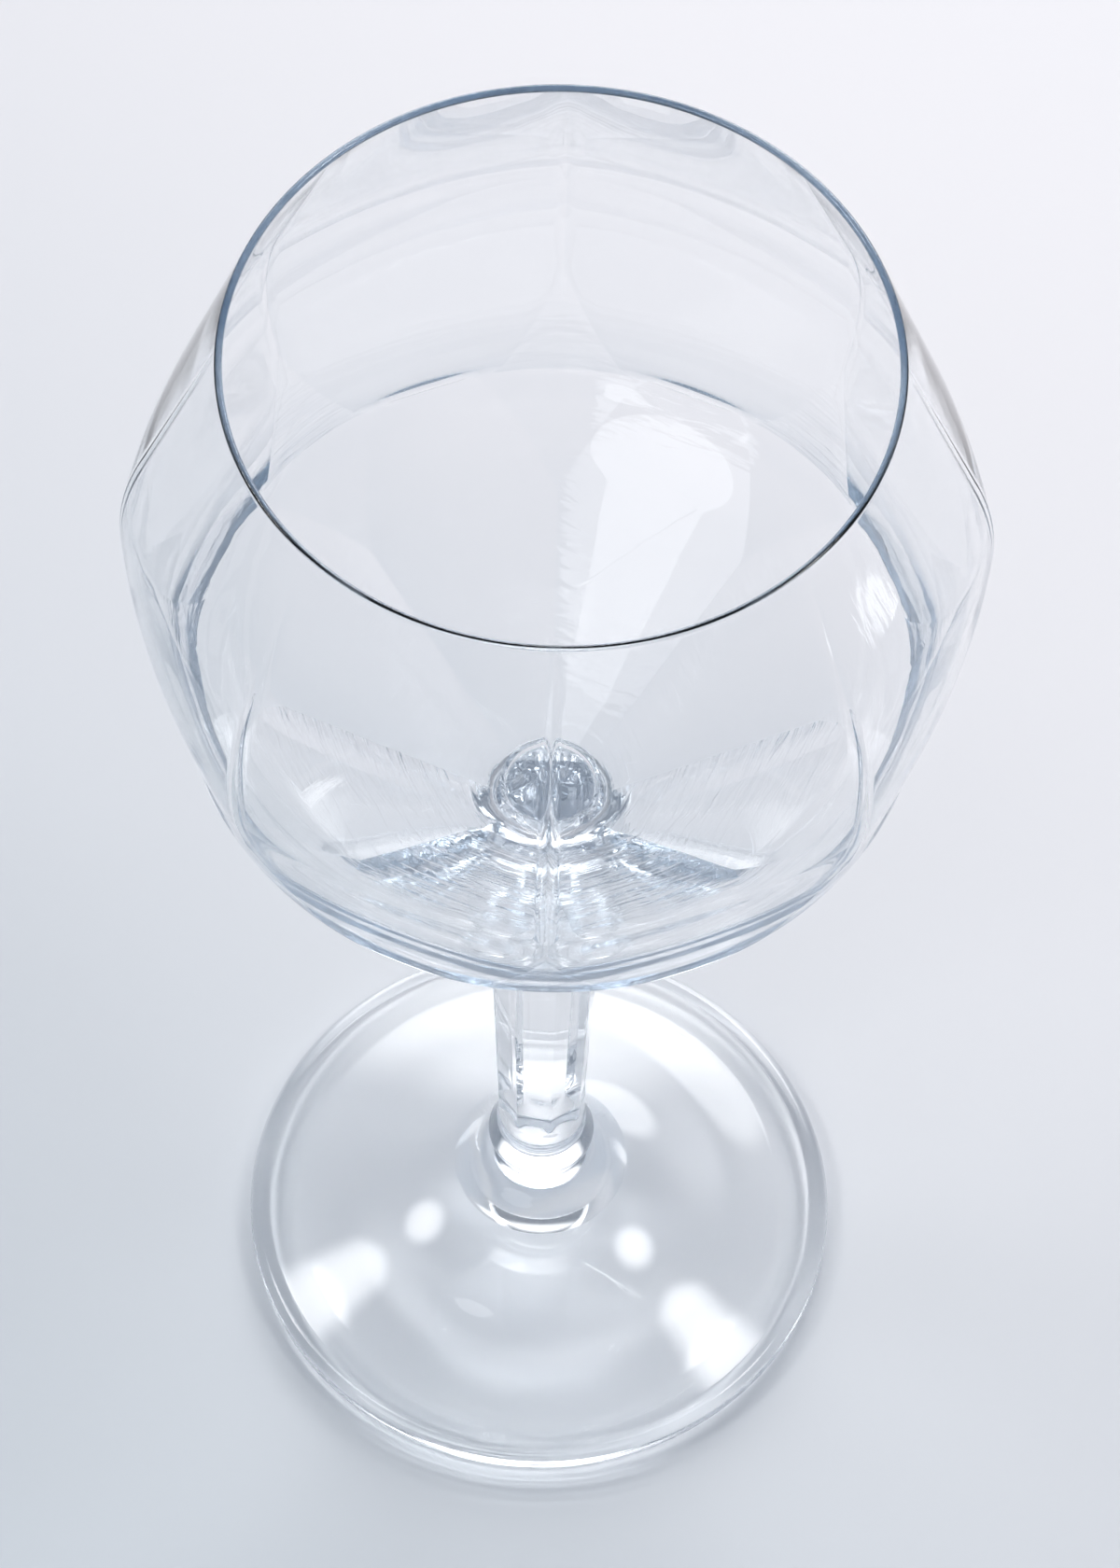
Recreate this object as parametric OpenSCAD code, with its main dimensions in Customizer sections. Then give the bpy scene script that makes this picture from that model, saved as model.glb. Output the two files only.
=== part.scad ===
// Stemmed gin glass: a balloon bowl with bowed panels and a gem-cut base, a flat-sided stem and a domed foot.
// Millimetres, +Z up, origin at the centre of the foot's resting ring.

/* [Foot] */
// Diameter of the foot
foot_d = 86.8; // [84:0.2:90]
// Thickness of the rounded edge of the foot
foot_edge = 4.2; // [3.6:0.1:5]
// Height of the weld between foot and stem
weld_z = 16.7; // [15:0.1:19]
// Diameter of the weld between foot and stem
weld_d = 25.6; // [24:0.2:28]
// Rise of the hollow under the foot
foot_hollow = 6.5; // [3:0.1:8]

/* [Stem] */
// Length of the stem from its weld to the bowl
stem_length = 100.3; // [95:0.1:105]
// Number of flat sides on the stem
stem_sides = 8; // [7:1:10]
// Turn of the stem's corners from the bowl's ridges, in degrees
stem_turn = 12; // [0:1:22]
// Corner radius at the lower end of the flats
stem_low_r = 6.3; // [5.8:0.1:6.6]
// Corner radius at the upper end of the flats
stem_high_r = 8.7; // [8:0.1:9]
// Radius of the bead at the stem's base
bead_r = 7.5; // [7.2:0.1:7.9]

/* [Bowl] */
// Height of the bowl from the stem to the rim
bowl_h = 103; // [100:0.5:108]
// Diameter of the rim
rim_d = 81.6; // [79:0.2:84]
// Thickness of the lip
lip = 1; // [0.8:0.1:1.4]
// Number of bowed panels round the bowl
panels = 8; // [7:1:10]
// Radius at which the middle of a panel would turn the corner at the belly
belly_r = 53.5; // [52.5:0.1:54.5]
// Height of that corner above the stem
belly_h = 67; // [64:0.5:69]
// Rounding of the belly, seen from the side
belly_round = 40; // [25:1:45]
// How far a panel's centre of curvature lies past the bowl's axis
panel_bow = 40; // [30:1:55]
// Radius of the girdle, where the panels end and the gem cut starts
girdle_r = 47.3; // [46.8:0.1:48]
// Height of the girdle above the stem
girdle_h = 35; // [33:0.5:37]
// Slope of the gem cut's flats, in degrees
gem_slope = 40; // [38:0.5:42]
// Thickness of the wall, measured level, from the rim to the girdle
wall = 1.1; // [1:0.1:1.6]
// Rounding of the inside opposite the girdle, seen from the side
girdle_round = 32; // [25:1:34]
// Thickness of the glass under the floor of the bowl
floor_t = 7; // [6:0.5:9]

/* [Hidden] */
$fn = 96;

clear_glass = [0.88, 0.93, 0.96, 0.45];
stem_top = weld_z + stem_length;
rim_z = stem_top + bowl_h;
girdle_z = stem_top + girdle_h;
belly_z = stem_top + belly_h;
rim_r = rim_d / 2;
foot_r = foot_d / 2;
weld_r = weld_d / 2;
// Radius of the joint between stem and bowl
joint_r = 9.3;
// Radius of the wheel that cuts the stem's flats, seen where a flat runs out
runout = 12;
runout_steps = 4;
// A panel and a gem flat both bite this far into the girdle
girdle_bite = 0.4;
// A short straight piece that leads an outline past a boolean's far side
over = 3;
// A blank is this much wider than the panels' corner, and keeps its width this far above the belly
proud = 2;
wide_rise = 12;
// Step from the rim to a blank's shoulder
shoulder_step = [4, -7];
// Radius of the floor of the bowl
floor_r = 6.2;
arc_steps = 8;

// Points of the arc that rounds the corner b between a and c
function rounded(a, b, c, r, steps = arc_steps) =
    let (u = (a - b) / norm(a - b),
         v = (c - b) / norm(c - b),
         half = acos(u * v) / 2,
         middle = (u + v) / norm(u + v),
         centre = b + middle * r / sin(half),
         start = b + u * r / tan(half) - centre,
         turn = (180 - 2 * half) * sign(u[0] * v[1] - u[1] * v[0]))
    [for (i = [0:steps])
        let (t = -turn * i / steps)
        centre + [start[0] * cos(t) - start[1] * sin(t), start[0] * sin(t) + start[1] * cos(t)]];

// Radius of the gem cut's flats at their middle, at a height
function gem_r(z) = girdle_r - girdle_bite - (girdle_z - z) / tan(gem_slope);

// Round blank of the bowl before its panels and flats are cut
module bowl_blank() {
    base_r = 12;
    side_lean = 16.5;
    wide_r = belly_r + proud;
    wide_low = girdle_z + (wide_r - girdle_r) / tan(side_lean);
    wide_high = belly_z + wide_rise;
    shoulder = [rim_r, rim_z] + shoulder_step;
    rotate_extrude()
        polygon(concat(
            [[0, stem_top], [base_r, stem_top], [girdle_r, girdle_z], [wide_r, wide_low], [wide_r, wide_high]],
            [shoulder],
            rounded(shoulder, [rim_r, rim_z], [0, rim_z], lip / 2),
            [[0, rim_z]]));
}

// Solid whose wall is one bowed panel, turned about an axis behind the bowl's own
module panel_body(rim_end, corner, girdle_end, bend) {
    low_end = 2 * girdle_end - corner;
    translate([-panel_bow, 0, 0])
        rotate_extrude()
            translate([panel_bow, 0])
                polygon(concat(
                    [[-panel_bow, low_end[1]], low_end],
                    rounded(low_end, corner, rim_end, bend),
                    [rim_end, rim_end + [0, over], [-panel_bow, rim_z + over]]));
}

// All panels round the bowl, moved inwards by an inset
module all_panels(inset, rim_end) {
    corner = [belly_r - inset, belly_z];
    girdle_end = [girdle_r - girdle_bite - inset, girdle_z];
    intersection_for (i = [0:panels - 1])
        rotate([0, 0, (i + 0.5) * 360 / panels])
            panel_body(rim_end, corner, girdle_end, belly_round - inset);
}

// Block under one flat of the gem cut
module gem_cut() {
    reach = 60;
    beyond = 20;
    translate([girdle_r - girdle_bite, 0, girdle_z])
        rotate([0, -gem_slope, 0])
            translate([-reach, -reach / 2, -reach])
                cube([reach + beyond, reach, reach]);
}

// Neck that sweeps from the gem cut down to the stem
module bowl_neck() {
    foot_end = [joint_r, stem_top];
    sweep_h = 4.5;
    sweep = [joint_r, stem_top + sweep_h];
    sweep_round = 7;
    neck_h = 12;
    top_z = stem_top + neck_h;
    sunk = 0.5;
    top_end = [gem_r(top_z) - sunk, top_z];
    rotate_extrude()
        polygon(concat(
            [[0, stem_top], foot_end],
            rounded(foot_end, sweep, top_end, sweep_round),
            [top_end, [0, top_z]]));
}

// Round blank of the space inside the bowl, with a shallow round step in its floor
module inside_blank(lip_in) {
    floor_z = stem_top + floor_t;
    floor_end = [floor_r, floor_z];
    floor_step = 0.8;
    floor_lead = [2.3, 0.4];
    floor_corner = floor_end + floor_lead;
    floor_round = 6;
    girdle_drop = 0.5;
    girdle_in = [girdle_r - girdle_bite - wall, girdle_z - girdle_drop];
    belly_in = [belly_r - wall, belly_z];
    wide_lift = 20;
    wide_r = belly_r - wall + proud;
    rotate_extrude()
        polygon(concat(
            [[0, floor_z - floor_step], floor_end - [0, floor_step], floor_end],
            rounded(floor_end, floor_corner, girdle_in, floor_round),
            rounded(floor_corner, girdle_in, belly_in, girdle_round),
            [[wide_r, girdle_z + wide_lift], [wide_r, belly_z + wide_rise]],
            [lip_in + shoulder_step, lip_in, lip_in + [0, over], [0, rim_z + over]]));
}

// Mouth of the bowl, flared over the rounded lip
module mouth(lip_in) {
    belly_in = [belly_r - wall, belly_z];
    lip_out = lip_in + [2 * lip, 0];
    depth = 2 * lip;
    rotate_extrude()
        polygon(concat(
            [[0, rim_z - depth], [lip_in[0], rim_z - depth]],
            rounded(belly_in, lip_in, lip_out, lip / 2),
            [lip_out, lip_out + [0, over], [0, rim_z + over]]));
}

// Space inside the bowl: it follows the panels, so the wall is even
module bowl_inside() {
    lip_in = [rim_r - lip, rim_z];
    intersection() {
        inside_blank(lip_in);
        all_panels(wall, lip_in);
    }
    mouth(lip_in);
}

module bowl() {
    rim_gap = 0.1;
    color(clear_glass)
        difference() {
            union() {
                difference() {
                    intersection() {
                        bowl_blank();
                        all_panels(0, [rim_r + rim_gap, rim_z]);
                    }
                    for (i = [0:panels - 1])
                        rotate([0, 0, (i + 0.5) * 360 / panels])
                            gem_cut();
                }
                bowl_neck();
            }
            bowl_inside();
        }
}

// Cutter outside one flat side of the stem: it leans with the taper and runs out in an arc at each end
module stem_flat(low_z, high_z) {
    apothem = cos(180 / stem_sides);
    width = 20;
    reach = 12;
    low = [stem_low_r * apothem, low_z];
    high = [stem_high_r * apothem, high_z];
    low_out = low + [reach, -reach];
    high_out = high + [reach, reach];
    rotate([90, 0, 0])
        linear_extrude(height = width, center = true)
            polygon(concat(
                [low_out],
                rounded(low_out, low, high, runout, runout_steps),
                rounded(low, high, high_out, runout, runout_steps),
                [high_out]));
}

// Round blank of the stem: a flare from the weld, a bead, a slow taper and a flare to the bowl
module stem_blank(bead_z, high_z) {
    waist_in = 0.9;
    waist_h = 3.4;
    waist = [bead_r - waist_in, weld_z + waist_h];
    waist_round = 4.5;
    waist_rise = 3;
    bead_foot = waist + [0, waist_rise];
    bead_round = 2;
    // The rounding takes this much off the bead's tip
    bead_worn = 0.35;
    bead_tip = [bead_r + bead_worn, bead_z];
    corner_trim = 0.12;
    neck_rise = 5;
    neck = [stem_low_r - corner_trim, bead_z + neck_rise];
    taper_end = [stem_high_r - corner_trim, high_z];
    taper_round = 30;
    weld_end = [weld_r, weld_z];
    joint_end = [joint_r, stem_top];
    rotate_extrude()
        polygon(concat(
            [[0, weld_z], weld_end],
            rounded(weld_end, waist, bead_foot, waist_round),
            rounded(bead_foot, bead_tip, neck, bead_round),
            [neck],
            rounded(neck, taper_end, joint_end, taper_round),
            [joint_end, [0, stem_top]]));
}

module stem() {
    bead_h = 9.3;
    flat_gap = 9;
    bead_z = weld_z + bead_h;
    low_z = bead_z + flat_gap;
    high_z = stem_top - flat_gap;
    color(clear_glass)
        difference() {
            stem_blank(bead_z, high_z);
            for (i = [0:stem_sides - 1])
                rotate([0, 0, stem_turn + (i + 0.5) * 360 / stem_sides])
                    stem_flat(low_z, high_z);
        }
}

module foot() {
    edge_share = 0.45;
    edge_round = edge_share * foot_edge;
    // Line where the rounded edge meets the domed top
    groove_in = 2.9;
    groove_sunk = 0.1;
    groove = [foot_r - groove_in, foot_edge - groove_sunk];
    dome_dip = 0.8;
    dome_mid = ([weld_r, weld_z] + groove) / 2 - [0, dome_dip];
    rest_width = 7;
    rest_in = foot_r - rest_width;
    hollow_r = (rest_in * rest_in + foot_hollow * foot_hollow) / (2 * foot_hollow);
    hollow_a = asin(rest_in / hollow_r);
    color(clear_glass)
        rotate_extrude()
            polygon(concat(
                [for (i = [0:arc_steps])
                    let (a = hollow_a * i / arc_steps)
                    [hollow_r * sin(a), foot_hollow - hollow_r + hollow_r * cos(a)]],
                rounded([rest_in, 0], [foot_r, 0], [foot_r, foot_edge], edge_round),
                rounded([foot_r, 0], [foot_r, foot_edge], [rest_in, foot_edge], edge_round),
                [groove, dome_mid, [weld_r, weld_z], [0, weld_z]]));
}

bowl();
stem();
foot();
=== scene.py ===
import math

import bmesh
import bpy
from bpy.props import FloatProperty, FloatVectorProperty, IntProperty, PointerProperty
from mathutils import Matrix, Vector


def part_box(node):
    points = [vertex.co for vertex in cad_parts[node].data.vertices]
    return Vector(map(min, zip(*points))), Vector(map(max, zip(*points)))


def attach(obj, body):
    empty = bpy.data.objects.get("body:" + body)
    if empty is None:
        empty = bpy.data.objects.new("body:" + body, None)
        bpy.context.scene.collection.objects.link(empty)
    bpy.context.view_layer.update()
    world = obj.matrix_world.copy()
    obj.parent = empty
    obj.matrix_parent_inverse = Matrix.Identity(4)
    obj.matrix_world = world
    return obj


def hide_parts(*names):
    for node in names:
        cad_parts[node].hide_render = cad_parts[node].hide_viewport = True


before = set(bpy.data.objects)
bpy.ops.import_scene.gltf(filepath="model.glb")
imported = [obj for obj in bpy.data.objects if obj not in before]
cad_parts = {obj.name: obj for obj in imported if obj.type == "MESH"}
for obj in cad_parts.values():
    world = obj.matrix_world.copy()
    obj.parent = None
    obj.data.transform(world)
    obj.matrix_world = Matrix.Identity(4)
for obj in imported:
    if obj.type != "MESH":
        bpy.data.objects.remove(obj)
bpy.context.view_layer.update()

bl_info = {
    "name": "Stemmed gin glass",
    "version": (1, 0, 0),
    "blender": (4, 5, 0),
    "location": "View3D > Sidebar > Gin glass",
    "description": "Builds a panelled, gem-cut gin glass and a plain studio to see it in",
    "category": "Add Mesh",
}

MM = 0.001
# Distance within which two vertices are one, and the finer one for a mirrored half
MERGE = 0.002 * MM
MIRROR_MERGE = 0.001 * MM
# Narrow row of faces that keeps a rounded edge's shading off the wall beside it
HOLD = 0.1 * MM
BODY = "root"
# Face attributes: the rippled gem cut and girdle, and hidden faces where two pieces are fused
RIPPLE_MARK = "rippled"
JOINT_MARK = "fused"
# Mesh rows up the bowl's outside: gem flat, diamond below and above the girdle, panel, and under the lip
BOWL_ROWS = {"gem": 46, "low": 8, "high": 12, "side": 60, "lip": 1}
# Colour sockets of a Mix node
MIX_A = 6
MIX_B = 7
MIX_RESULT = 2

# Heights that the frame's own pieces set
FOOT_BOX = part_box("foot")
STEM_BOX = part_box("stem")
BOWL_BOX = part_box("bowl")
WELD_Z = FOOT_BOX[1][2]
JOINT_Z = STEM_BOX[1][2]
RIM_Z = BOWL_BOX[1][2]
WELD_R = STEM_BOX[1][0]


def length(name, description, millimetres):
    """A length property, written in millimetres and kept in metres."""
    return FloatProperty(name=name, description=description, default=millimetres * MM,
                         unit="LENGTH", precision=5)


def angle(name, description, degrees):
    """An angle property, written in degrees."""
    return FloatProperty(name=name, description=description, default=math.radians(degrees), unit="ROTATION")


def colour(name, description, rgb):
    """A colour property."""
    return FloatVectorProperty(name=name, description=description, default=rgb,
                               subtype="COLOR", size=3, min=0, max=1)


def share(name, description, default):
    """A property between 0 and 1."""
    return FloatProperty(name=name, description=description, default=default, subtype="FACTOR", min=0, max=1)


def strength(name, description, default):
    """A property that is 0 or more."""
    return FloatProperty(name=name, description=description, default=default, min=0)


def power(name, description, watts):
    """A lamp's power."""
    return FloatProperty(name=name, description=description, default=watts, unit="POWER", min=0)


class BowlSizes(bpy.types.PropertyGroup):
    """Sizes of the panelled bowl"""
    panels: IntProperty(name="Panels", description="Bowed panels round the bowl", default=8, min=6, max=12)
    columns: IntProperty(name="Columns", description="Mesh columns across half a panel",
                         default=14, min=4, max=24)
    joint_r: length("Joint radius", "Radius where the bowl is fused to the stem", 9.3)
    rim_r: length("Rim radius", "Outer radius of the rim", 40.8)
    lip: length("Lip", "Thickness of the lip", 1.0)
    panel_corner_r: length("Panel belly radius", "Where a panel's middle would turn the corner", 53.5)
    ridge_corner_r: length("Ridge belly radius", "Where a ridge would turn the corner", 55.73)
    belly_h: length("Belly height", "Height of that corner above the stem", 67.0)
    belly_round: length("Belly rounding", "Radius of the belly seen from the side", 40.0)
    girdle_r: length("Girdle radius", "Radius of the crease between panels and gem cut", 47.3)
    girdle_h: length("Girdle height", "Height of the girdle above the stem", 35.0)
    girdle_bite: length("Girdle bite", "How far panels and flats cut into the girdle", 0.4)
    diamond_lean: angle("Diamond lean", "Lean of the plain diamonds above the girdle", 16.5)
    diamond_base: length("Diamond base", "Radius that the cone below the girdle would have at the stem", 12.0)
    gem_slope: angle("Gem slope", "Slope of the gem cut's flats", 40.0)
    wall: length("Wall", "Thickness of the wall, measured level", 1.1)
    girdle_round: length("Girdle rounding", "Rounding of the inside opposite the girdle", 32.0)
    floor_t: length("Floor", "Glass under the floor of the bowl", 7.0)
    floor_r: length("Floor circle", "Radius of the step in the floor", 6.2)
    floor_step: length("Floor step", "Depth of the step in the floor", 0.8)


class StemSizes(bpy.types.PropertyGroup):
    """Sizes of the flat-sided stem"""
    sides: IntProperty(name="Sides", description="Flat sides round the stem", default=8, min=6, max=12)
    turn: angle("Turn", "Turn of the stem's corners from the bowl's ridges", 12.0)
    low_r: length("Lower corner radius", "Corner radius at the lower end of the flats", 6.3)
    high_r: length("Upper corner radius", "Corner radius at the upper end of the flats", 8.7)
    bead_r: length("Bead radius", "Radius of the bead at the stem's base", 7.5)
    bead_h: length("Bead height", "Height of the bead above the weld", 9.3)
    flat_gap: length("Flat gap", "From the bead, and from the bowl, to the flats' ends", 9.0)
    runout: length("Run-out", "Radius of the arc that ends a flat", 12.0)


class FootSizes(bpy.types.PropertyGroup):
    """Sizes of the domed foot"""
    radius: length("Radius", "Radius of the foot", 43.4)
    edge: length("Edge", "Thickness of the foot's rounded edge", 4.2)
    groove: length("Groove", "From the edge to the line round the domed top", 2.9)
    dip: length("Dip", "How far the domed top sags below a straight cone", 0.8)
    rest: length("Rest", "From the edge to the inside of the resting ring", 7.0)
    hollow: length("Hollow", "Rise of the hollow under the foot", 6.5)


class GlassLook(bpy.types.PropertyGroup):
    """Finish of the glass"""
    tint: colour("Tint", "Colour that the glass gives to light passing through it", (0.992, 0.995, 0.997))
    pale: colour("Pale tint", "Tint where the glass is clearest", (1.0, 1.0, 1.0))
    ior: FloatProperty(name="Index", description="Index of refraction", default=1.5, min=1.3, max=1.7)
    wave: share("Wave", "Slow waviness of the blown wall", 0.03)
    gem_ripple: share("Gem ripple", "Fine mould ripples round the gem cut", 0.065)
    body: colour("Body", "Colour that light takes on over a long way inside the glass", (0.69, 0.77, 0.845))
    depth: strength("Depth", "How fast light takes on that colour in the bowl, per metre", 26.0)
    base_depth: strength("Base depth", "The same for the clearer stem and foot, per metre", 3.5)
    smear: share("Smear", "Roughness of faint wiping marks", 0.03)


class StudioLook(bpy.types.PropertyGroup):
    """Floor, room and lights"""
    floor: colour("Floor", "Colour of the floor behind the glass", (0.93, 0.90, 0.905))
    # Painted shade: the floor fades to this darker, bluer colour towards the front left, in place of light
    # falling off that way
    floor_front_shade: colour("Floor front", "Colour of the floor in front of the glass", (0.635, 0.67, 0.70))
    gap: length("Air gap", "Film of air under the resting ring", 0.3)
    horizon: colour("Horizon", "Colour of the room at floor level", (0.22, 0.26, 0.32))
    ceiling: colour("Ceiling", "Colour of the room overhead", (0.26, 0.29, 0.34))
    window: strength("Window", "Brightness of the window's glow low behind the glass", 5.0)
    key: power("Key", "Power of the softbox behind the glass", 1.0)
    right: power("Right", "Power of the softbox at the right", 1.7)
    left: power("Left", "Power of the softbox at the left", 1.6)
    fill: power("Fill", "Power of the softbox in front", 2.2)


class CornerCurve:
    """A wall outline of two straight lines with a rounded corner between them, as a radius at a height."""

    def __init__(self, top, corner, low, radius):
        self.top = Vector(top)
        self.corner = Vector(corner)
        self.low = Vector(low)
        self.radius = radius
        up = (self.top - self.corner).normalized()
        down = (self.low - self.corner).normalized()
        half = up.angle(down) / 2
        self.centre = self.corner + (up + down).normalized() * radius / math.sin(half)
        reach = radius / math.tan(half)
        self.arc_top = self.corner + up * reach
        self.arc_low = self.corner + down * reach

    def radius_at(self, z):
        """Radius of the wall at a height."""
        if z >= self.arc_top.y:
            return line_at(self.top, self.corner, z)
        if z <= self.arc_low.y:
            return line_at(self.corner, self.low, z)
        return self.centre.x + math.sqrt(self.radius ** 2 - (z - self.centre.y) ** 2)


def line_at(a, b, z):
    """Radius at a height on the line through two points."""
    return a[0] + (b[0] - a[0]) * (z - a[1]) / (b[1] - a[1])


def arc_points(a, b, c, radius, steps):
    """Points of the arc that rounds the corner b between a and c."""
    a, b, c = Vector(a), Vector(b), Vector(c)
    u = (a - b).normalized()
    v = (c - b).normalized()
    half = u.angle(v) / 2
    centre = b + (u + v).normalized() * radius / math.sin(half)
    start = b + u * radius / math.tan(half) - centre
    turn = (math.pi - 2 * half) * math.copysign(1, u.x * v.y - u.y * v.x)
    points = []
    for i in range(steps + 1):
        t = -turn * i / steps
        points.append(centre + Vector((start.x * math.cos(t) - start.y * math.sin(t),
                                       start.x * math.sin(t) + start.y * math.cos(t))))
    return points


def straight(a, b, steps, near_end=0.8):
    """Points part of the way along a line, without its ends, so long faces stay short."""
    a, b = Vector(a), Vector(b)
    return [a + (b - a) * near_end * i / steps for i in range(1, steps)]


def bowed(middle, ridge, half_step, phi):
    """Radius of a bowed panel at an angle from its middle, given its radius there and at its ridges."""
    sag = middle - ridge * math.cos(half_step)
    back = (ridge ** 2 - middle ** 2) / (2 * sag)
    return math.sqrt((middle + back) ** 2 - (back * math.sin(phi)) ** 2) - back * math.cos(phi)


def solve(low, high, inside):
    """Height between low and high where a test turns from true to false."""
    halvings = 40
    for _ in range(halvings):
        middle = (low + high) / 2
        if inside(middle):
            low = middle
        else:
            high = middle
    return (low + high) / 2


class BowlShape:
    """The bowl's outside: panels, diamonds and gem flats, as radii at a height and an angle."""

    def __init__(self, sizes):
        self.s = sizes
        self.half = math.pi / sizes.panels
        self.girdle_z = JOINT_Z + sizes.girdle_h
        self.belly_z = JOINT_Z + sizes.belly_h
        self.rim_edge = RIM_Z - sizes.lip / 2
        girdle = (sizes.girdle_r - sizes.girdle_bite, self.girdle_z)
        rim = (sizes.rim_r, self.rim_edge)
        self.panel = CornerCurve(rim, (sizes.panel_corner_r, self.belly_z), girdle, sizes.belly_round)
        diamond_rise = 16 * MM
        diamond_top = self.girdle_z + diamond_rise
        ridge_low = (self.diamond(diamond_top), diamond_top)
        self.ridge = CornerCurve(rim, (sizes.ridge_corner_r, self.belly_z), ridge_low, sizes.belly_round)

    def diamond(self, z):
        """Radius of the plain cones above and below the girdle."""
        if z >= self.girdle_z:
            return self.s.girdle_r + (z - self.girdle_z) * math.tan(self.s.diamond_lean)
        return line_at((self.s.diamond_base, JOINT_Z), (self.s.girdle_r, self.girdle_z), z)

    def side(self, z, phi):
        """Radius of a bowed panel."""
        return bowed(self.panel.radius_at(z), self.ridge.radius_at(z), self.half, phi)

    def gem(self, z, phi):
        """Radius of a gem flat, blended into the neck below it."""
        neck_start = JOINT_Z + 2 * MM
        neck_flare = 0.7
        soft = 1.2 * MM
        sunk = 0.1 * soft
        middle = self.s.girdle_r - self.s.girdle_bite - (self.girdle_z - z) / math.tan(self.s.gem_slope)
        flat = middle / math.cos(phi)
        neck = self.s.joint_r + max(0.0, z - neck_start) * neck_flare
        return (flat + neck + math.sqrt((flat - neck) ** 2 + soft ** 2)) / 2 - sunk

    def bulge(self, z, phi):
        """How far the outside stands out past a panel's middle, at a height from the girdle up."""
        if z <= self.girdle_z or z >= self.rim_edge:
            return 0.0
        return min(self.diamond(z), self.side(z, phi)) - min(self.diamond(z), self.side(z, 0))

    def arch_z(self, phi):
        """Height at which a gem flat ends against the diamond."""
        neck_top = JOINT_Z + 10 * MM
        return solve(neck_top, self.girdle_z, lambda z: self.gem(z, phi) < self.diamond(z))

    def slant_z(self, phi):
        """Height at which a panel ends against the diamond."""
        return solve(self.girdle_z, self.belly_z, lambda z: self.diamond(z) < self.side(z, phi))


def new_object(name, bm, material):
    """Links a finished mesh to the scene as an object of one material."""
    mesh = bpy.data.meshes.new(name)
    bm.to_mesh(mesh)
    bm.free()
    mesh.materials.append(material)
    piece = bpy.data.objects.new(name, mesh)
    bpy.context.scene.collection.objects.link(piece)
    return piece


def place_piece(piece, node):
    """Puts a finished piece in its CAD node's place."""
    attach(piece, BODY)
    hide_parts(node)


def add_grid(bm, columns, rows):
    """Adds a flat grid and returns the column and row of each of its vertices."""
    half = 0.5
    grid = bmesh.ops.create_grid(bm, x_segments=columns, y_segments=rows, size=half)
    spots = {}
    for vert in grid["verts"]:
        column = round((vert.co.x + half) * columns)
        row = round((vert.co.y + half) * rows)
        spots[vert] = (column, row)
    return spots


def round_place(r, phi, z):
    """A place at a radius, an angle and a height."""
    return Vector((r * math.cos(phi), r * math.sin(phi), z))


def repeat_round(bm, count, turn):
    """Mirrors half a side over its middle, repeats it round the axis and turns the whole."""
    half = bm.verts[:] + bm.edges[:] + bm.faces[:]
    bmesh.ops.mirror(bm, geom=half, matrix=Matrix(), merge_dist=MIRROR_MERGE, axis="Y")
    whole = bm.verts[:] + bm.edges[:] + bm.faces[:]
    step = math.tau / count
    bmesh.ops.spin(bm, geom=whole, cent=(0, 0, 0), axis=(0, 0, 1), angle=step * (count - 1),
                   steps=count - 1, use_duplicate=True)
    bmesh.ops.rotate(bm, verts=bm.verts[:], cent=(0, 0, 0), matrix=Matrix.Rotation(turn, 3, "Z"))
    bmesh.ops.remove_doubles(bm, verts=bm.verts[:], dist=MERGE)


def revolve(bm, points, steps):
    """Spins an outline in the XZ plane once round the glass's axis."""
    verts = [bm.verts.new((r, 0, z)) for r, z in points]
    edges = [bm.edges.new(pair) for pair in zip(verts, verts[1:])]
    bmesh.ops.spin(bm, geom=verts + edges, cent=(0, 0, 0), axis=(0, 0, 1), angle=math.tau,
                   steps=steps, use_merge=True)
    bmesh.ops.remove_doubles(bm, verts=bm.verts[:], dist=MERGE)
    settle_order(bm)


def settle_order(bm):
    """Orders edges and faces by their vertices, because a full spin makes them in another order each run."""
    bm.verts.index_update()
    for parts in (bm.edges, bm.faces):
        ordered = sorted(parts, key=lambda part: sorted(vert.index for vert in part.verts))
        for place, part in enumerate(ordered):
            part.index = place
        parts.sort()


def close_disc(bm, z):
    """Fills the round opening at a height with one face, marked as fused to the next piece."""
    # The attribute comes first, because adding one drops the faces and edges already gathered
    joint = bm.faces.layers.float.get(JOINT_MARK) or bm.faces.layers.float.new(JOINT_MARK)
    slack = 0.01 * MM
    rim = [e for e in bm.edges if e.is_boundary and all(abs(v.co.z - z) < slack for v in e.verts)]
    made = bmesh.ops.edgeloop_fill(bm, edges=rim)
    if not made["faces"]:
        raise RuntimeError(f"No round opening to close at height {z:.4f} m")
    for face in made["faces"]:
        face[joint] = 1.0


def finish_mesh(bm):
    """Merges seams and poles, points every face outwards and shades it smooth."""
    bmesh.ops.remove_doubles(bm, verts=bm.verts[:], dist=MERGE)
    bmesh.ops.dissolve_degenerate(bm, edges=bm.edges[:], dist=MERGE)
    bmesh.ops.recalc_face_normals(bm, faces=bm.faces[:])
    for face in bm.faces:
        face.smooth = True


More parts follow.
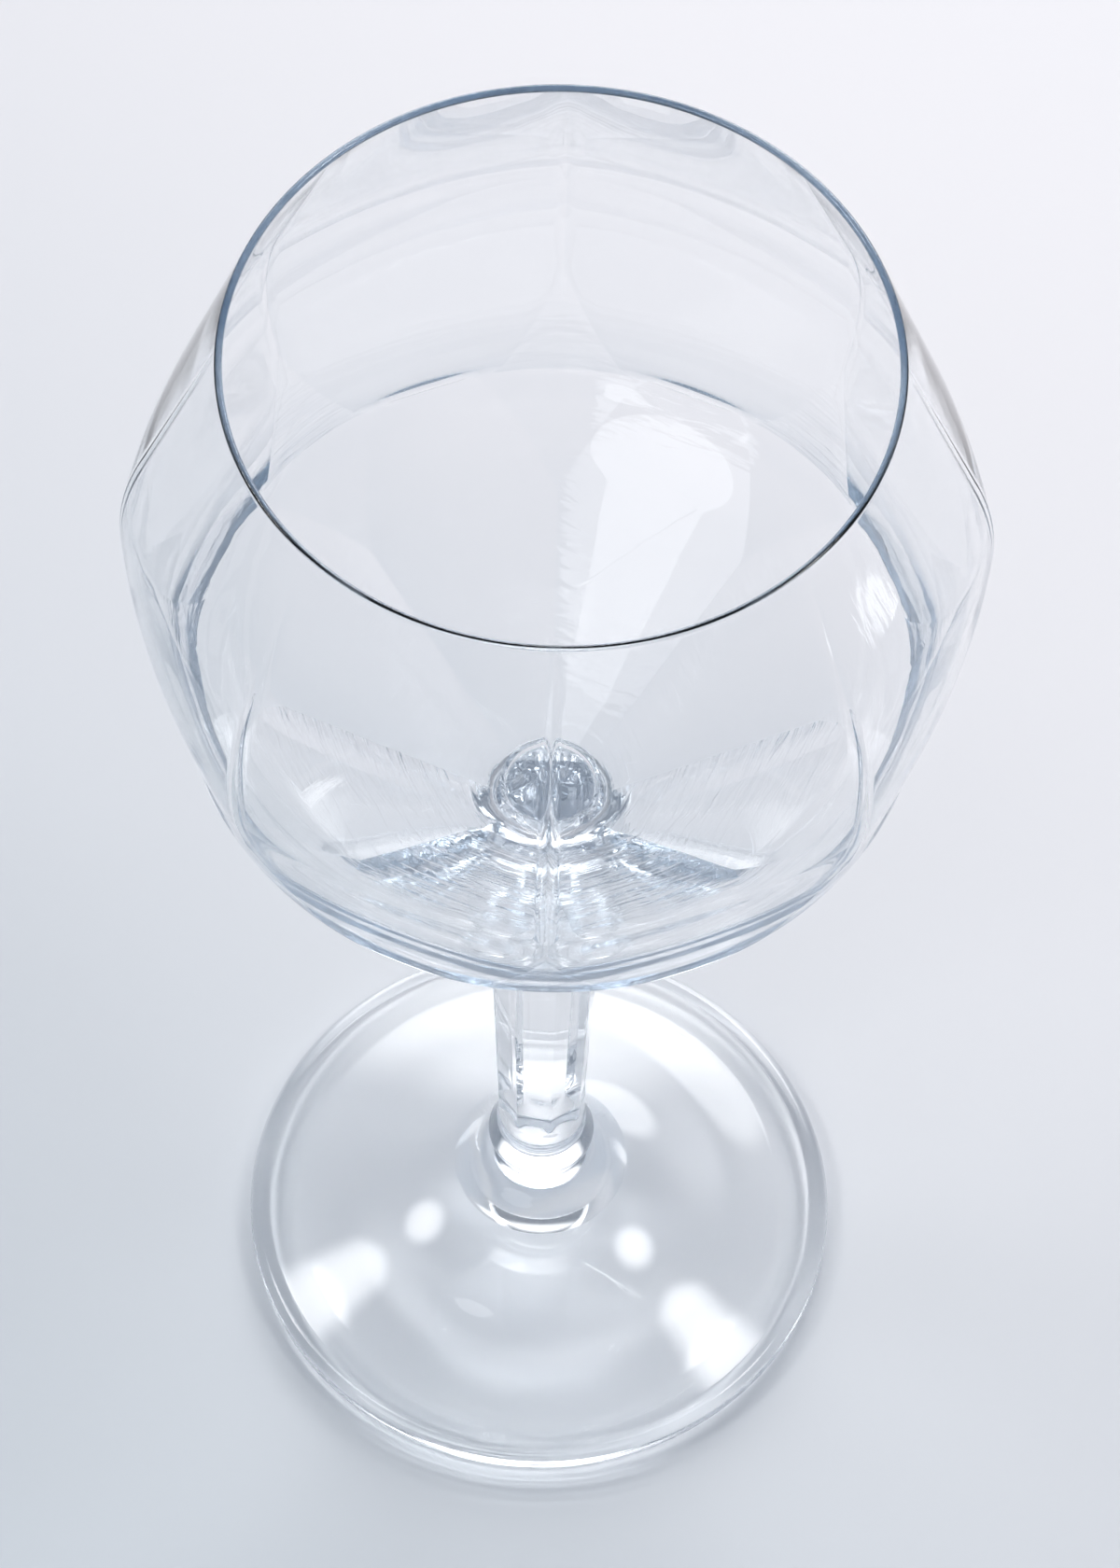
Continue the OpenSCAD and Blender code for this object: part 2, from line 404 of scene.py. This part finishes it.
class GINGLASS_OT_bowl(bpy.types.Operator):
    """Build the panelled bowl with its gem-cut underside"""
    bl_idname = "gin_glass.bowl"
    bl_label = "Bowl"

    def execute(self, context):
        sizes = context.scene.gin_bowl
        look = context.scene.gin_look
        shape = BowlShape(sizes)
        bm = bmesh.new()
        self.add_outside(bm, sizes, shape)
        self.add_inside(bm, sizes, shape)
        repeat_round(bm, sizes.panels, shape.half)
        close_disc(bm, JOINT_Z)
        finish_mesh(bm)
        piece = new_object("glass_bowl", bm, glass_material("bowl_glass", look, look.depth))
        place_piece(piece, "bowl")
        return {"FINISHED"}

    def add_outside(self, bm, sizes, shape):
        """Adds half a panel of the outside, from the stem up to the lip, with sharp creases and ridges."""
        rippled = bm.faces.layers.float.new(RIPPLE_MARK)
        columns = sizes.columns
        total = sum(BOWL_ROWS.values())
        spots = add_grid(bm, columns, total)
        first = {}
        at = 0
        for name, count in BOWL_ROWS.items():
            first[name] = at
            at += count

        for face in bm.faces:
            below_panel = max(spots[vert][1] for vert in face.verts) <= first["side"]
            face[rippled] = 1.0 if below_panel else 0.0
        crease_rows = (first["low"], first["high"], first["side"])
        for edge in bm.edges:
            (c0, r0), (c1, r1) = (spots[vert] for vert in edge.verts)
            on_crease = r0 == r1 and r0 in crease_rows
            on_gem = max(r0, r1) <= first["low"]
            on_panel = min(r0, r1) >= first["side"]
            on_ridge = c0 == c1 == 0 and (on_gem or on_panel)
            edge.smooth = not (on_crease or on_ridge)

        levels_at = {}
        for vert, (column, row) in spots.items():
            phi = shape.half * (1 - column / columns)
            if column not in levels_at:
                levels_at[column] = (JOINT_Z, shape.arch_z(phi), shape.girdle_z, shape.slant_z(phi),
                                     shape.rim_edge - HOLD, shape.rim_edge)
            for section, (name, count) in enumerate(BOWL_ROWS.items()):
                if row <= first[name] + count:
                    break
            low, high = levels_at[column][section:section + 2]
            z = low + (high - low) * (row - first[name]) / count
            if name == "gem":
                r = shape.gem(z, phi)
            elif name in ("side", "lip"):
                r = shape.side(z, phi)
            else:
                r = shape.diamond(z)
            vert.co = round_place(r, phi, z)

    def add_inside(self, bm, sizes, shape):
        """Adds half a panel of the inside, whose upper wall follows the panels."""
        outline = self.inside_outline(sizes, shape)
        columns = sizes.columns
        for vert, (column, row) in add_grid(bm, columns, len(outline) - 1).items():
            phi = shape.half * (1 - column / columns)
            r, z = outline[row]
            vert.co = round_place(r + shape.bulge(z, phi), phi, z)

    def inside_outline(self, s, shape):
        """Outline of the inside at a panel's middle, from its floor over the lip to the rim's outer edge."""
        floor_z = JOINT_Z + s.floor_t
        floor_low = floor_z - s.floor_step
        floor_end = (s.floor_r, floor_z)
        floor_edge = (s.floor_r, floor_low)
        floor_flat = s.floor_r - 1.2 * MM
        fillet = (s.floor_r + 0.6 * MM, floor_z + 0.15 * MM)
        girdle_drop = 0.5 * MM
        girdle_in = (s.girdle_r - s.girdle_bite - s.wall, shape.girdle_z - girdle_drop)
        belly_in = (s.panel_corner_r - s.wall, shape.belly_z)
        lip_in = Vector((s.rim_r - s.lip, shape.rim_edge))
        lip_half = s.lip / 2
        lip_steps = 8

        points = [Vector((0, floor_low)), Vector((floor_flat, floor_low))]
        points += arc_points((0, floor_low), floor_edge, floor_end, radius=0.25 * MM, steps=4)
        points += arc_points(floor_edge, floor_end, fillet, radius=0.2 * MM, steps=4)
        points += arc_points(floor_end, fillet, girdle_in, radius=1.0 * MM, steps=6)
        points += straight(points[-1], girdle_in, steps=8, near_end=0.5)
        points += arc_points(fillet, girdle_in, belly_in, radius=s.girdle_round, steps=20)
        points += arc_points(girdle_in, belly_in, lip_in, radius=s.belly_round - s.wall, steps=24)
        points += straight(points[-1], lip_in, steps=10)
        points.append(lip_in + (Vector(belly_in) - lip_in).normalized() * HOLD)
        for i in range(lip_steps + 1):
            t = math.pi * (1 - i / lip_steps)
            points.append(Vector((s.rim_r - lip_half + lip_half * math.cos(t),
                                  shape.rim_edge + lip_half * math.sin(t))))
        return points


class GINGLASS_OT_stem(bpy.types.Operator):
    """Build the flat-sided stem with its bead and flare"""
    bl_idname = "gin_glass.stem"
    bl_label = "Stem"

    def execute(self, context):
        s = context.scene.gin_stem
        look = context.scene.gin_look
        outline = self.round_outline(s, context.scene.gin_bowl.joint_r)
        half = math.pi / s.sides
        low_z, high_z = self.flat_ends(s)
        columns = 8
        bm = bmesh.new()
        spots = add_grid(bm, columns, len(outline) - 1)
        for vert, (column, row) in spots.items():
            phi = half * (1 - column / columns)
            r, z = outline[row]
            vert.co = round_place(min(r, self.flat_at(s, z) / math.cos(phi)), phi, z)
        for edge in bm.edges:
            a, b = edge.verts
            on_corner = spots[a][0] == spots[b][0] == 0
            between_ends = low_z < (a.co.z + b.co.z) / 2 < high_z
            edge.smooth = not (on_corner and between_ends)
        repeat_round(bm, s.sides, half + s.turn)
        close_disc(bm, JOINT_Z)
        close_disc(bm, WELD_Z)
        finish_mesh(bm)
        piece = new_object("glass_stem", bm, glass_material("stem_glass", look, look.base_depth))
        place_piece(piece, "stem")
        return {"FINISHED"}

    def flat_ends(self, s):
        """Heights between which the flats are at their full width."""
        return WELD_Z + s.bead_h + s.flat_gap, JOINT_Z - s.flat_gap

    def flat_at(self, s, z):
        """Distance of a flat from the axis at a height, running out in an arc at each end."""
        low_z, high_z = self.flat_ends(s)
        lead = 4 * MM
        plain = line_at((s.low_r, low_z), (s.high_r, high_z), z) * math.cos(math.pi / s.sides)
        past = max(low_z + lead - z, z - high_z + lead, 0.0)
        return plain + s.runout - math.sqrt(max(s.runout ** 2 - past ** 2, 0.0))

    def round_outline(self, s, joint_r):
        """Outline of the round stem before its flats are cut, from the weld up to the bowl."""
        # The round blank is a little slimmer than the flats' corners, which blunts them
        trim = 0.12 * MM
        bead_z = WELD_Z + s.bead_h
        high_z = self.flat_ends(s)[1]
        weld_end = (WELD_R, WELD_Z)
        waist = (s.bead_r - 0.9 * MM, WELD_Z + 3.4 * MM)
        bead_foot = (waist[0], waist[1] + 3 * MM)
        bead_tip = (s.bead_r + 0.35 * MM, bead_z)
        neck = Vector((s.low_r - trim, bead_z + 5 * MM))
        taper_end = Vector((s.high_r - trim, high_z))
        joint_end = (joint_r, JOINT_Z)
        taper_rows = 60
        last_row = taper_rows - 3

        outline = [Vector(weld_end)]
        outline += arc_points(weld_end, waist, bead_foot, radius=4.5 * MM, steps=10)
        outline += arc_points(bead_foot, bead_tip, neck, radius=2 * MM, steps=10)
        outline += straight(outline[-1], neck, steps=4)
        outline += [neck + (taper_end - neck) * i / taper_rows for i in range(last_row + 1)]
        outline += arc_points(neck, taper_end, joint_end, radius=30 * MM, steps=6)
        outline += straight(outline[-1], joint_end, steps=6)
        outline.append(Vector(joint_end))
        return outline


class GINGLASS_OT_foot(bpy.types.Operator):
    """Build the domed foot with its rounded edge and hollow underside"""
    bl_idname = "gin_glass.foot"
    bl_label = "Foot"

    def execute(self, context):
        look = context.scene.gin_look
        bm = bmesh.new()
        revolve(bm, self.round_outline(context.scene.gin_foot), steps=192)
        close_disc(bm, WELD_Z)
        finish_mesh(bm)
        piece = new_object("glass_foot", bm, glass_material("foot_glass", look, look.base_depth))
        place_piece(piece, "foot")
        return {"FINISHED"}

    def round_outline(self, s):
        """Outline from the middle of the hollow, round the edge and up the dome to the weld."""
        edge_round = 0.45 * s.edge
        groove_drop = 0.1 * MM
        groove = (s.radius - s.groove, s.edge - groove_drop)
        edge_low = (s.radius, 0)
        edge_high = (s.radius, s.edge)
        weld_end = (WELD_R, WELD_Z)
        middle = ((groove[0] + WELD_R) / 2, (groove[1] + WELD_Z) / 2 - s.dip)
        rest_in = s.radius - s.rest
        bend = (rest_in ** 2 + s.hollow ** 2) / (2 * s.hollow)
        sweep = math.asin(rest_in / bend)
        hollow_steps = 24

        outline = []
        for i in range(hollow_steps + 1):
            t = sweep * i / hollow_steps
            outline.append(Vector((bend * math.sin(t), s.hollow - bend + bend * math.cos(t))))
        outline += arc_points((rest_in, 0), edge_low, edge_high, radius=edge_round, steps=8)
        outline += arc_points(edge_low, edge_high, (rest_in, s.edge), radius=edge_round, steps=8)
        outline += arc_points(edge_high, groove, middle, radius=0.6 * MM, steps=4)
        outline += arc_points(groove, middle, weld_end, radius=60 * MM, steps=16)
        outline.append(Vector(weld_end))
        return outline


def node_group(name, sockets):
    """A new shader node group with its own sockets, and its input and output nodes."""
    group = bpy.data.node_groups.new(name, "ShaderNodeTree")
    for label, direction, kind in sockets:
        group.interface.new_socket(name=label, in_out=direction, socket_type=kind)
    return group, group.nodes.new("NodeGroupInput"), group.nodes.new("NodeGroupOutput")


def add_node(tree, kind, inputs=None, **settings):
    """Adds a node, sets its options and fills or links its inputs."""
    node = tree.nodes.new(kind)
    for key, value in settings.items():
        setattr(node, key, value)
    for key, value in (inputs or {}).items():
        if isinstance(value, bpy.types.NodeSocket):
            tree.links.new(value, node.inputs[key])
        else:
            node.inputs[key].default_value = value
    return node


def blend(tree, factor, first, second, kind="MIX"):
    """Mixes two colours and returns the result's socket."""
    mix = add_node(tree, "ShaderNodeMix", {"Factor": factor, MIX_A: first, MIX_B: second},
                   data_type="RGBA", blend_type=kind)
    return mix.outputs[MIX_RESULT]


def product(tree, first, second):
    """Multiplies two numbers and returns the result's socket."""
    return add_node(tree, "ShaderNodeMath", {0: first, 1: second}, operation="MULTIPLY").outputs[0]


def along(tree, place, direction):
    """How far a place or direction reaches along another direction, as a socket."""
    dot = add_node(tree, "ShaderNodeVectorMath", {0: place, 1: direction}, operation="DOT_PRODUCT")
    return dot.outputs["Value"]


def fade(tree, value, start, end, low=0.0, high=1.0):
    """Turns a number softly from low at its start to high at its end, and returns the result's socket."""
    span = {"Value": value, "From Min": start, "From Max": end, "To Min": low, "To Max": high}
    return add_node(tree, "ShaderNodeMapRange", span, interpolation_type="SMOOTHSTEP").outputs[0]


def surface_group():
    """Mould marks of pressed glass: a height for the bump and a mask for wiping marks."""
    name = "glass_surface"
    if name in bpy.data.node_groups:
        return bpy.data.node_groups[name]
    group, given, out = node_group(name, (
        ("Position", "INPUT", "NodeSocketVector"),
        ("Wave", "INPUT", "NodeSocketFloat"),
        ("Ripple", "INPUT", "NodeSocketFloat"),
        ("Height", "OUTPUT", "NodeSocketFloat"),
        ("Smear", "OUTPUT", "NodeSocketFloat")))
    position = given.outputs["Position"]
    slow = add_node(group, "ShaderNodeTexNoise", {"Vector": position, "Scale": 55.0, "Detail": 2.0})
    slow_part = product(group, slow.outputs[0], given.outputs["Wave"])
    level = add_node(group, "ShaderNodeMapping", {"Vector": position, "Scale": (110.0, 110.0, 1000.0)})
    fine = add_node(group, "ShaderNodeTexNoise",
                    {"Vector": level.outputs[0], "Scale": 1.0, "Detail": 2.5, "Distortion": 0.6})
    height = add_node(group, "ShaderNodeMath",
                      {0: fine.outputs[0], 1: given.outputs["Ripple"], 2: slow_part},
                      operation="MULTIPLY_ADD")
    group.links.new(height.outputs[0], out.inputs["Height"])
    drawn = add_node(group, "ShaderNodeMapping",
                     {"Vector": position, "Rotation": (0.5, 0.3, 0.2), "Scale": (140.0, 140.0, 25.0)})
    marks = add_node(group, "ShaderNodeTexNoise", {"Vector": drawn.outputs[0], "Scale": 1.0, "Detail": 5.0})
    mask = add_node(group, "ShaderNodeMapRange",
                    {"Value": marks.outputs[0], "From Min": 0.58, "From Max": 0.75})
    group.links.new(mask.outputs[0], out.inputs["Smear"])
    return group


def tint_group():
    """Trace of blue-grey that comes and goes slowly over the glass."""
    name = "glass_tint"
    if name in bpy.data.node_groups:
        return bpy.data.node_groups[name]
    group, given, out = node_group(name, (
        ("Position", "INPUT", "NodeSocketVector"),
        ("Clear", "INPUT", "NodeSocketColor"),
        ("Deep", "INPUT", "NodeSocketColor"),
        ("Colour", "OUTPUT", "NodeSocketColor")))
    cloud = add_node(group, "ShaderNodeTexNoise",
                     {"Vector": given.outputs["Position"], "Scale": 30.0, "Detail": 1.0})
    colour_out = blend(group, cloud.outputs[0], given.outputs["Clear"], given.outputs["Deep"])
    group.links.new(colour_out, out.inputs["Colour"])
    return group


def glass_material(name, look, depth):
    """Clear polished glass with a trace of tint, mould marks and faint wiping marks."""
    material = bpy.data.materials.new(name)
    material.use_nodes = True
    tree = material.node_tree
    shader = tree.nodes["Principled BSDF"]
    shader.inputs["Transmission Weight"].default_value = 1
    shader.inputs["IOR"].default_value = look.ior
    position = add_node(tree, "ShaderNodeTexCoord").outputs["Object"]

    rippled = add_node(tree, "ShaderNodeAttribute", attribute_name=RIPPLE_MARK)
    surface = add_node(tree, "ShaderNodeGroup", node_tree=surface_group())
    surface.inputs["Wave"].default_value = look.wave
    tree.links.new(position, surface.inputs["Position"])
    tree.links.new(product(tree, rippled.outputs["Fac"], look.gem_ripple), surface.inputs["Ripple"])
    bump = add_node(tree, "ShaderNodeBump", {"Height": surface.outputs["Height"], "Distance": 1 * MM})
    tree.links.new(bump.outputs[0], shader.inputs["Normal"])
    tree.links.new(product(tree, surface.outputs["Smear"], look.smear), shader.inputs["Roughness"])

    tint = add_node(tree, "ShaderNodeGroup", node_tree=tint_group())
    tint.inputs["Clear"].default_value = (*look.pale, 1)
    tint.inputs["Deep"].default_value = (*look.tint, 1)
    tree.links.new(position, tint.inputs["Position"])
    tree.links.new(tint.outputs["Colour"], shader.inputs["Base Color"])

    # Light passes a fused joint unbent, as it does inside one body of glass
    fused = add_node(tree, "ShaderNodeAttribute", attribute_name=JOINT_MARK)
    seen = add_node(tree, "ShaderNodeMath", {0: 1.0, 1: fused.outputs["Fac"]}, operation="SUBTRACT")
    tree.links.new(seen.outputs[0], shader.inputs["Alpha"])
    body = add_node(tree, "ShaderNodeVolumeAbsorption", {"Color": (*look.body, 1), "Density": depth})
    tree.links.new(body.outputs[0], tree.nodes["Material Output"].inputs["Volume"])
    return material


class GINGLASS_OT_studio(bpy.types.Operator):
    """Set the floor, the room, the lights and the camera"""
    bl_idname = "gin_glass.studio"
    bl_label = "Studio"

    def execute(self, context):
        scene = context.scene
        look = scene.gin_studio
        self.add_floor(look)
        self.add_room(scene, look)
        self.add_softbox(scene, "key", (0.25, 0.55, 0.45), (0.4, 0.3), look.key, aim_at=(0, 0.2, 0))
        self.add_softbox(scene, "right", (0.53, -0.03, 0.86), (0.32, 0.32), look.right, bright=0.15)
        self.add_softbox(scene, "left", (-0.61, 0.11, 0.80), (0.32, 0.32), look.left, bright=0.15)
        self.add_softbox(scene, "fill", (-0.55, -0.78, 0.87), (0.85, 0.85), look.fill, bright=0.49)
        self.add_camera(scene)
        self.set_light_paths(scene)
        return {"FINISHED"}

    def add_floor(self, look):
        """Adds a wide pale floor, painted a little darker and bluer towards the front left: painted shade
        standing in for light falling off that way.
        """
        half_width = 3
        to_back_right = (0.6, 0.8, 0)
        front = -0.15
        back = 0.22
        paint = bpy.data.materials.new("floor_paint_and_shade")
        paint.use_nodes = True
        tree = paint.node_tree
        shader = tree.nodes["Principled BSDF"]
        shader.inputs["Roughness"].default_value = 0.9
        shader.inputs["Specular IOR Level"].default_value = 0.1
        position = add_node(tree, "ShaderNodeTexCoord").outputs["Object"]
        # Painted shade: the floor's colour grades from dark at the front left to light at the back right, in
        # place of light falling off
        painted_falloff = fade(tree, along(tree, position, to_back_right), front, back)
        shade = blend(tree, painted_falloff, (*look.floor_front_shade, 1), (*look.floor, 1))
        tree.links.new(shade, shader.inputs["Base Color"])
        bm = bmesh.new()
        bmesh.ops.create_grid(bm, x_segments=1, y_segments=1, size=half_width)
        bmesh.ops.translate(bm, verts=bm.verts[:], vec=(0, 0, -look.gap))
        floor = new_object("floor", bm, paint)

    def add_room(self, scene, look):
        """Surrounds the scene with a dim room and a window's glow low behind the glass."""
        up = (0, 0, 1)
        ceiling_from = 0.8
        to_window = (0, 0.96, 0.28)
        window_edge = 0.82
        world = bpy.data.worlds.new("room")
        world.use_nodes = True
        tree = world.node_tree
        direction = add_node(tree, "ShaderNodeTexCoord").outputs["Generated"]
        height = fade(tree, along(tree, direction, up), 0.0, ceiling_from)
        tone = blend(tree, height, (*look.horizon, 1), (*look.ceiling, 1))
        glow = fade(tree, along(tree, direction, to_window), window_edge, 1.0, high=look.window)
        room = blend(tree, 1.0, tone, glow, kind="ADD")
        tree.links.new(room, tree.nodes["Background"].inputs["Color"])
        scene.world = world

    def add_softbox(self, scene, name, place, size, watts, aim_at=(0, 0, 0.1), bright=0.3):
        """Adds one softbox that faces a place, fading from its bright middle to its edge."""
        edge = 0.5
        boost = 2.0
        lamp = bpy.data.lights.new(name, "AREA")
        lamp.shape = "RECTANGLE"
        lamp.size, lamp.size_y = size
        lamp.energy = watts
        lamp.use_nodes = True
        tree = lamp.node_tree
        spot = add_node(tree, "ShaderNodeNewGeometry").outputs["Parametric"]
        away = add_node(tree, "ShaderNodeVectorMath", {0: spot, 1: (edge, edge, 0)}, operation="DISTANCE")
        glow = fade(tree, away.outputs["Value"], bright, edge, low=boost, high=0.0)
        tree.links.new(glow, tree.nodes["Emission"].inputs["Strength"])
        box = bpy.data.objects.new(name, lamp)
        box.location = place
        aim = Vector(aim_at) - box.location
        box.rotation_euler = aim.to_track_quat("-Z", "Y").to_euler()
        scene.collection.objects.link(box)

    def add_camera(self, scene):
        """Adds the camera at the photograph's angle."""
        looks_down = 58.82
        place = (0, -0.3821, 0.7549)
        tilt = math.radians(90 - looks_down)
        yaw = math.radians(-0.10)
        roll = math.radians(1.52)
        data = bpy.data.cameras.new("camera")
        data.lens = 128.34
        data.sensor_width = 36
        camera = bpy.data.objects.new("camera", data)
        turn = Matrix.Rotation(tilt, 4, "X") @ Matrix.Rotation(yaw, 4, "Y") @ Matrix.Rotation(roll, 4, "Z")
        camera.matrix_world = Matrix.Translation(place) @ turn
        scene.collection.objects.link(camera)
        scene.camera = camera

    def set_light_paths(self, scene):
        """Lets light cross many walls of glass, and shows colours as they are."""
        bounces = 48
        scene.view_settings.view_transform = "Standard"
        scene.cycles.max_bounces = bounces
        scene.cycles.transmission_bounces = bounces
        scene.cycles.glossy_bounces = bounces
        scene.cycles.transparent_max_bounces = 32
        scene.cycles.blur_glossy = 0.0
        scene.cycles.sample_clamp_indirect = 8.0


class GINGLASS_PT_panel(bpy.types.Panel):
    """Lists the glass's pieces in the sidebar"""
    bl_idname = "GINGLASS_PT_panel"
    bl_label = "Gin glass"
    bl_space_type = "VIEW_3D"
    bl_region_type = "UI"
    bl_category = "Gin glass"

    def draw(self, context):
        for operator in STEPS:
            self.layout.operator(operator.bl_idname)


GROUPS = {
    "gin_bowl": BowlSizes,
    "gin_stem": StemSizes,
    "gin_foot": FootSizes,
    "gin_look": GlassLook,
    "gin_studio": StudioLook,
}
STEPS = (GINGLASS_OT_bowl, GINGLASS_OT_stem, GINGLASS_OT_foot, GINGLASS_OT_studio)


def register():
    for name, group in GROUPS.items():
        bpy.utils.register_class(group)
        setattr(bpy.types.Scene, name, PointerProperty(type=group))
    for operator in STEPS:
        bpy.utils.register_class(operator)
    bpy.utils.register_class(GINGLASS_PT_panel)


def unregister():
    bpy.utils.unregister_class(GINGLASS_PT_panel)
    for operator in reversed(STEPS):
        bpy.utils.unregister_class(operator)
    for name, group in reversed(GROUPS.items()):
        delattr(bpy.types.Scene, name)
        bpy.utils.unregister_class(group)


def main():
    register()
    bpy.ops.gin_glass.bowl()
    bpy.ops.gin_glass.stem()
    bpy.ops.gin_glass.foot()
    bpy.ops.gin_glass.studio()


if __name__ == "__main__":
    main()
